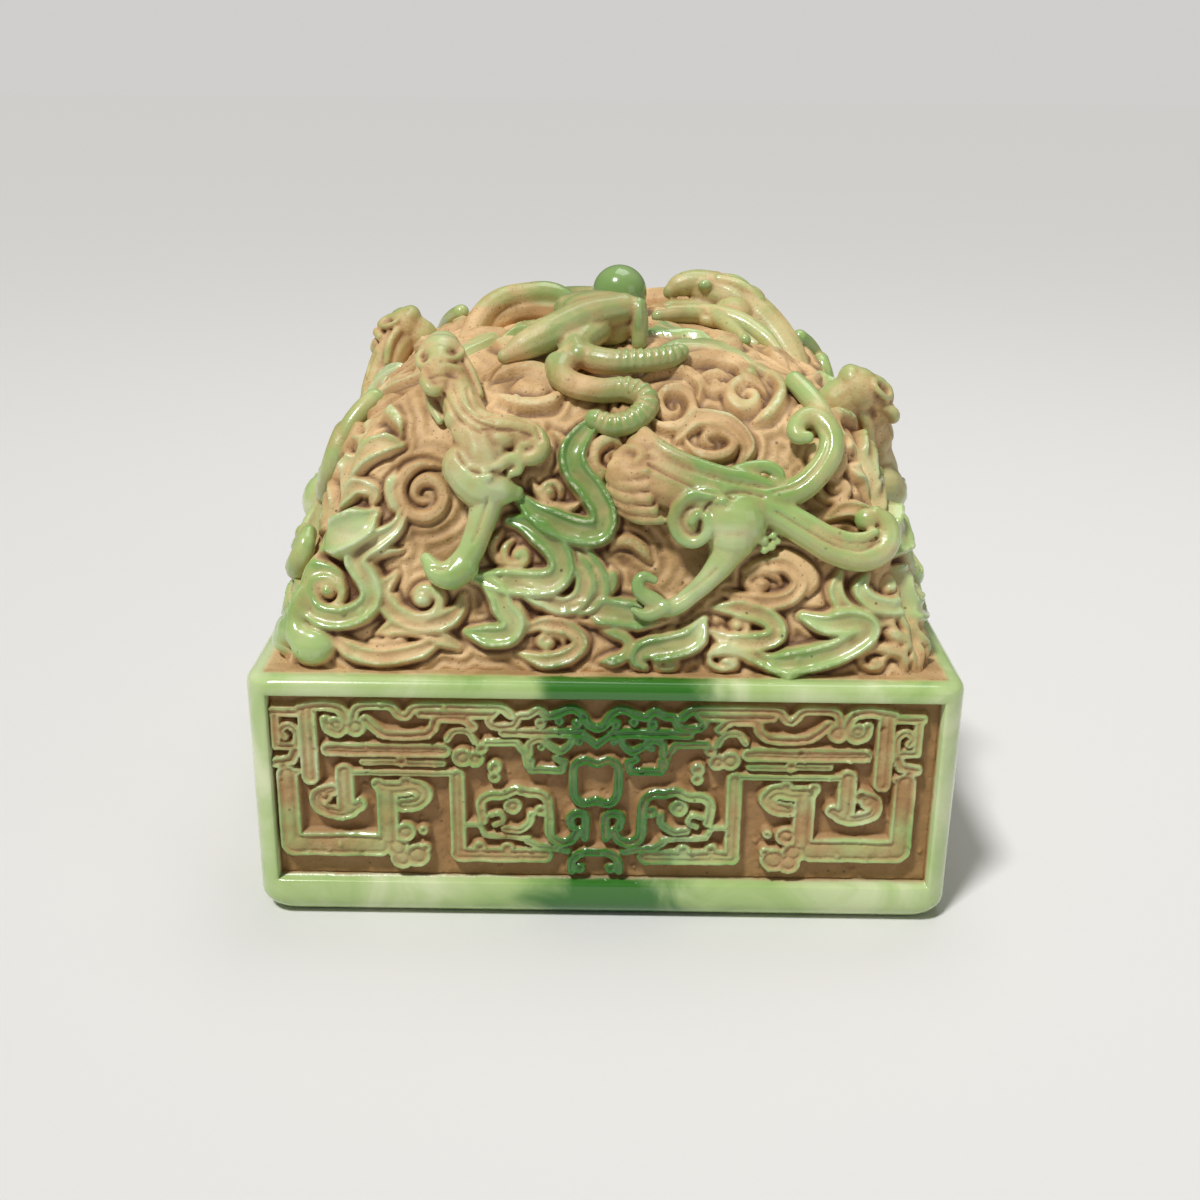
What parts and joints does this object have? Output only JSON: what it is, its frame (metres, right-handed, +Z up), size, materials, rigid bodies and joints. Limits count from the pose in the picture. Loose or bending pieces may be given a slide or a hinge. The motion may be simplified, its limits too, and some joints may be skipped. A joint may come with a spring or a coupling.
{
  "type": "dragon seal stamp",
  "caption": "Square seal stamp with fret panels round its block and a carved mound of clouds, climbing dragons and a pearl as its grip.",
  "frame": {"origin": "middle of the underside, on the surface that the seal stands on", "axes": "+Z up from the printing face to the pearl, -Y towards the viewer of the front panel, +X to that viewer's right"},
  "size_m": [0.1, 0.1, 0.0873],
  "materials": {
    "jade_resin": "glossy cast resin in mint to emerald green, made to look like jade",
    "patina_resin": "the same resin with a matte beige and brown patina rubbed into the hollows"
  },
  "bodies": {
    "root": {"seal_block": "jade_resin", "stamp_face": "jade_resin", "front_frieze": "patina_resin", "right_frieze": "patina_resin", "back_frieze": "patina_resin", "left_frieze": "patina_resin", "cloud_mound": "patina_resin", "front_clouds": "patina_resin", "right_clouds": "patina_resin", "back_clouds": "patina_resin", "left_clouds": "patina_resin", "front_forepart": "jade_resin", "right_forepart": "jade_resin", "back_forepart": "jade_resin", "left_forepart": "jade_resin", "front_hindpart": "jade_resin", "right_hindpart": "jade_resin", "back_hindpart": "jade_resin", "left_hindpart": "jade_resin", "crown_body": "jade_resin", "crown_head": "jade_resin", "crown_tail": "jade_resin", "pearl": "jade_resin"}
  },
  "joints": []
}
